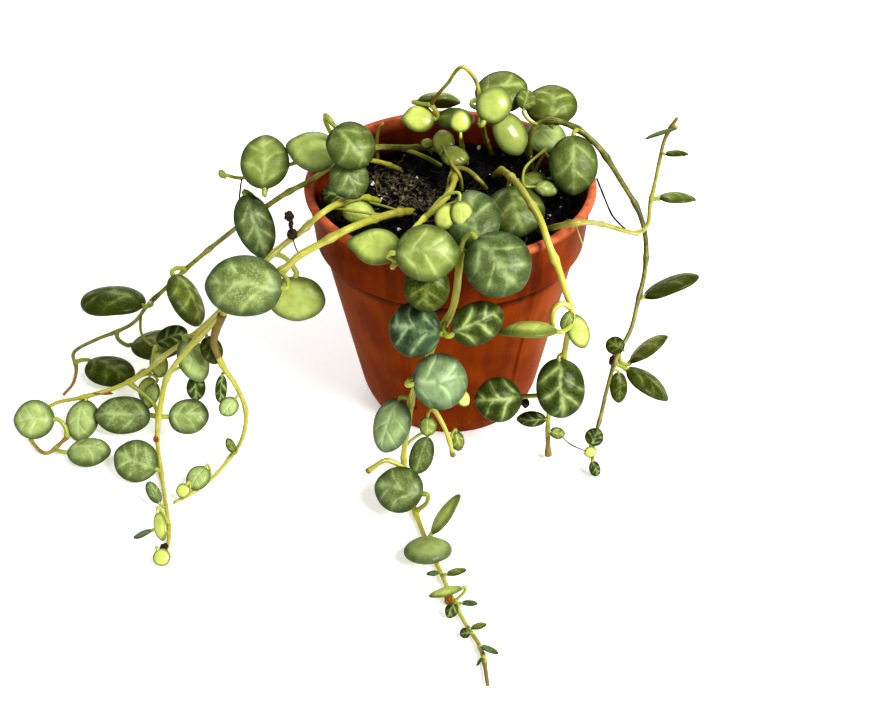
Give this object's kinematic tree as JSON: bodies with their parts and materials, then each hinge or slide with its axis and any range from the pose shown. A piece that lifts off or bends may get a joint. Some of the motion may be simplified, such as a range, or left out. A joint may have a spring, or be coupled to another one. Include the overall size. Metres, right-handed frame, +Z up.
{
  "type": "potted string of turtles",
  "caption": "Small terracotta-coloured plastic nursery pot of soil with a string of turtles, whose leafy stems trail over the rim and lie along the surface.",
  "frame": {"origin": "centre of the pot's flat base, on the surface that the pot stands on", "axes": "+Z up along the pot's axis, -Y towards the front, where the longest stem runs out, +X to the right"},
  "size_m": [0.148, 0.1165, 0.0754],
  "materials": {
    "terracotta_plastic": "satin moulded plastic, orange brown",
    "peat_soil": "rough moist peat with clods and fibres",
    "stem_green": "smooth lime green stem, tan and reddish at the nodes",
    "leaf_green": "thick waxy leaf with pale veins"
  },
  "bodies": {
    "root": {"leaf_centre_sprout_1": "leaf_green", "leaf_front_1": "leaf_green", "leaf_front_2": "leaf_green", "leaf_front_3": "leaf_green", "leaf_front_4": "leaf_green", "leaf_front_5": "leaf_green", "leaf_front_6": "leaf_green", "leaf_front_7": "leaf_green", "leaf_front_8": "leaf_green", "leaf_front_9": "leaf_green", "leaf_front_left_1": "leaf_green", "leaf_front_left_2": "leaf_green", "leaf_front_left_3": "leaf_green", "leaf_front_right_1": "leaf_green", "leaf_front_right_2": "leaf_green", "leaf_front_right_3": "leaf_green", "leaf_front_right_4": "leaf_green", "leaf_left_long_1": "leaf_green", "leaf_left_long_2": "leaf_green", "leaf_left_long_3": "leaf_green", "leaf_left_long_4": "leaf_green", "leaf_left_long_5": "leaf_green", "leaf_left_low_1": "leaf_green", "leaf_left_low_2": "leaf_green", "leaf_left_low_3": "leaf_green", "leaf_left_middle_1": "leaf_green", "leaf_left_middle_2": "leaf_green", "leaf_left_middle_3": "leaf_green", "leaf_left_middle_4": "leaf_green", "leaf_left_middle_5": "leaf_green", "leaf_left_middle_6": "leaf_green", "leaf_right_arch_1": "leaf_green", "leaf_right_arch_2": "leaf_green", "leaf_right_arch_3": "leaf_green", "leaf_right_arch_4": "leaf_green", "leaf_right_arch_5": "leaf_green", "leaf_right_arch_6": "leaf_green", "leaf_right_upright_1": "leaf_green", "leaf_top_arch_1": "leaf_green", "leaf_top_arch_2": "leaf_green", "leaf_top_arch_3": "leaf_green", "leaf_top_arch_4": "leaf_green", "leaf_top_arch_5": "leaf_green", "leaf_upper_left_1": "leaf_green", "leaf_upper_left_2": "leaf_green", "leaf_upper_left_3": "leaf_green", "leaf_upper_left_4": "leaf_green", "pot": "terracotta_plastic", "soil": "peat_soil", "stem_centre_sprout": "stem_green", "stem_front": "stem_green", "stem_front_left": "stem_green", "stem_front_right": "stem_green", "stem_left_long": "stem_green", "stem_left_low": "stem_green", "stem_left_middle": "stem_green", "stem_right_arch": "stem_green", "stem_right_upright": "stem_green", "stem_top_arch": "stem_green", "stem_upper_left": "stem_green"}
  },
  "joints": []
}
